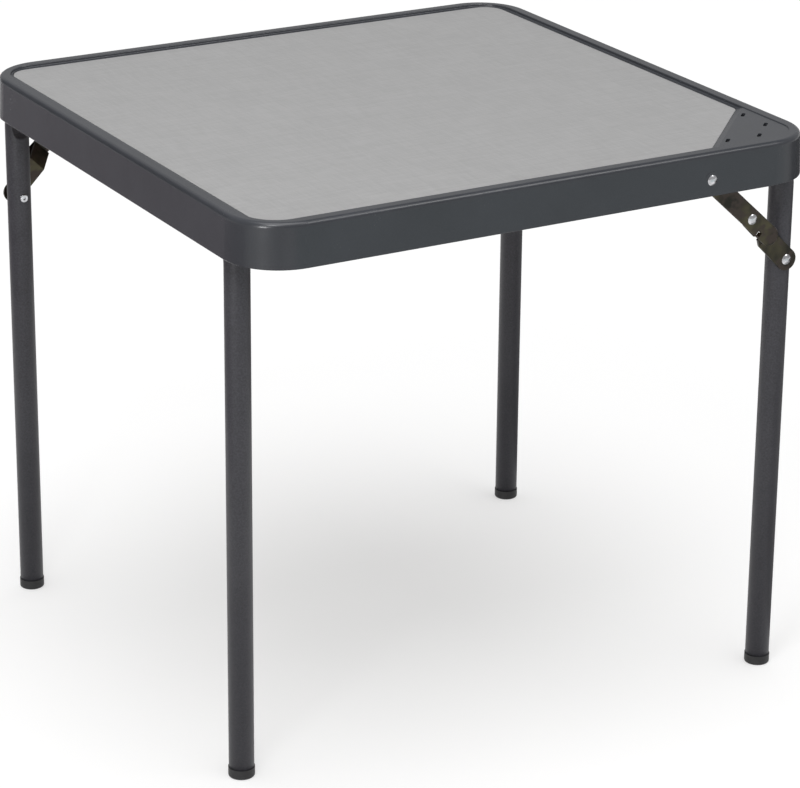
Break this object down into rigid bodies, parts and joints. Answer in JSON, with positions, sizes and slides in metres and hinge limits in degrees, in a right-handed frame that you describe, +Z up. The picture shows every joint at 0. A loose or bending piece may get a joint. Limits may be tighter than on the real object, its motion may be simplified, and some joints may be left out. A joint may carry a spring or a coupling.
{
  "type": "folding table",
  "caption": "Small square folding table: a rimmed board carried by tubular leg frames that fold flat inside the rim on locking braces.",
  "frame": {"origin": "on the floor, under the middle of the tabletop", "axes": "+X across the top from one leg frame to the other, towards the frame whose brace is at the front; +Y to the back; +Z up"},
  "size_m": [0.56, 0.5448, 0.515],
  "materials": {
    "rim_plastic": "satin moulded",
    "board_laminate": "fine brushed matt laminate",
    "board_core": "fibreboard",
    "leg_paint": "powder coat",
    "cap_plastic": "moulded",
    "clip_steel": "powder coat",
    "brace_steel": "black passivated, glossy",
    "rivet_steel": "bright plated",
    "screw_steel": "zinc plated"
  },
  "bodies": {
    "tabletop": {"rim_frame": "rim_plastic", "board_core": "board_core", "board_facing": "board_laminate", "board_screws": "screw_steel", "hinge_clip_screws": "screw_steel", "right_hinge_clip_braced": "clip_steel", "right_hinge_clip_plain": "clip_steel", "right_apron_rivet": "rivet_steel", "left_hinge_clip_braced": "clip_steel", "left_hinge_clip_plain": "clip_steel", "left_apron_rivet": "rivet_steel"},
    "right_legs": {"right_leg_frame": "leg_paint", "right_foot_cap_braced": "cap_plastic", "right_foot_cap_plain": "cap_plastic", "right_leg_rivet_shank": "rivet_steel"},
    "right_upper_brace": {"right_upper_link": "brace_steel", "right_knee_rivet": "rivet_steel"},
    "right_lower_brace": {"right_lower_link": "brace_steel", "right_leg_rivet_head": "rivet_steel"},
    "left_legs": {"left_leg_frame": "leg_paint", "left_foot_cap_braced": "cap_plastic", "left_foot_cap_plain": "cap_plastic", "left_leg_rivet_shank": "rivet_steel"},
    "left_upper_brace": {"left_upper_link": "brace_steel", "left_knee_rivet": "rivet_steel"},
    "left_lower_brace": {"left_lower_link": "brace_steel", "left_leg_rivet_head": "rivet_steel"}
  },
  "joints": [
    {"name": "right_leg_fold", "type": "hinge", "parent": "tabletop", "child": "right_legs", "pos_m": [0.2595, 0, 0.49045], "axis": [0, 1, 0], "range_deg": [0, 90]},
    {"name": "right_brace_apron", "type": "hinge", "parent": "tabletop", "child": "right_upper_brace", "pos_m": [0.162, -0.265, 0.49045], "axis": [0, 1, 0], "range_deg": [0, 137.41]},
    {"name": "right_brace_knee", "type": "hinge", "parent": "right_upper_brace", "child": "right_lower_brace", "pos_m": [0.20995, -0.263, 0.44637], "axis": [0, -1, 0], "range_deg": [0, 182.05]},
    {"name": "left_leg_fold", "type": "hinge", "parent": "tabletop", "child": "left_legs", "pos_m": [-0.2595, 0, 0.49045], "axis": [0, -1, 0], "range_deg": [0, 90]},
    {"name": "left_brace_apron", "type": "hinge", "parent": "tabletop", "child": "left_upper_brace", "pos_m": [-0.162, 0.265, 0.49045], "axis": [0, -1, 0], "range_deg": [0, 137.41]},
    {"name": "left_brace_knee", "type": "hinge", "parent": "left_upper_brace", "child": "left_lower_brace", "pos_m": [-0.20995, 0.263, 0.44637], "axis": [0, 1, 0], "range_deg": [0, 182.05]}
  ],
  "couplings": [
    {"joint": "right_brace_apron", "follows": "right_leg_fold", "ratio": 1.5268},
    {"joint": "right_brace_knee", "follows": "right_leg_fold", "ratio": 2.0227},
    {"joint": "left_brace_apron", "follows": "left_leg_fold", "ratio": 1.5268},
    {"joint": "left_brace_knee", "follows": "left_leg_fold", "ratio": 2.0227}
  ]
}
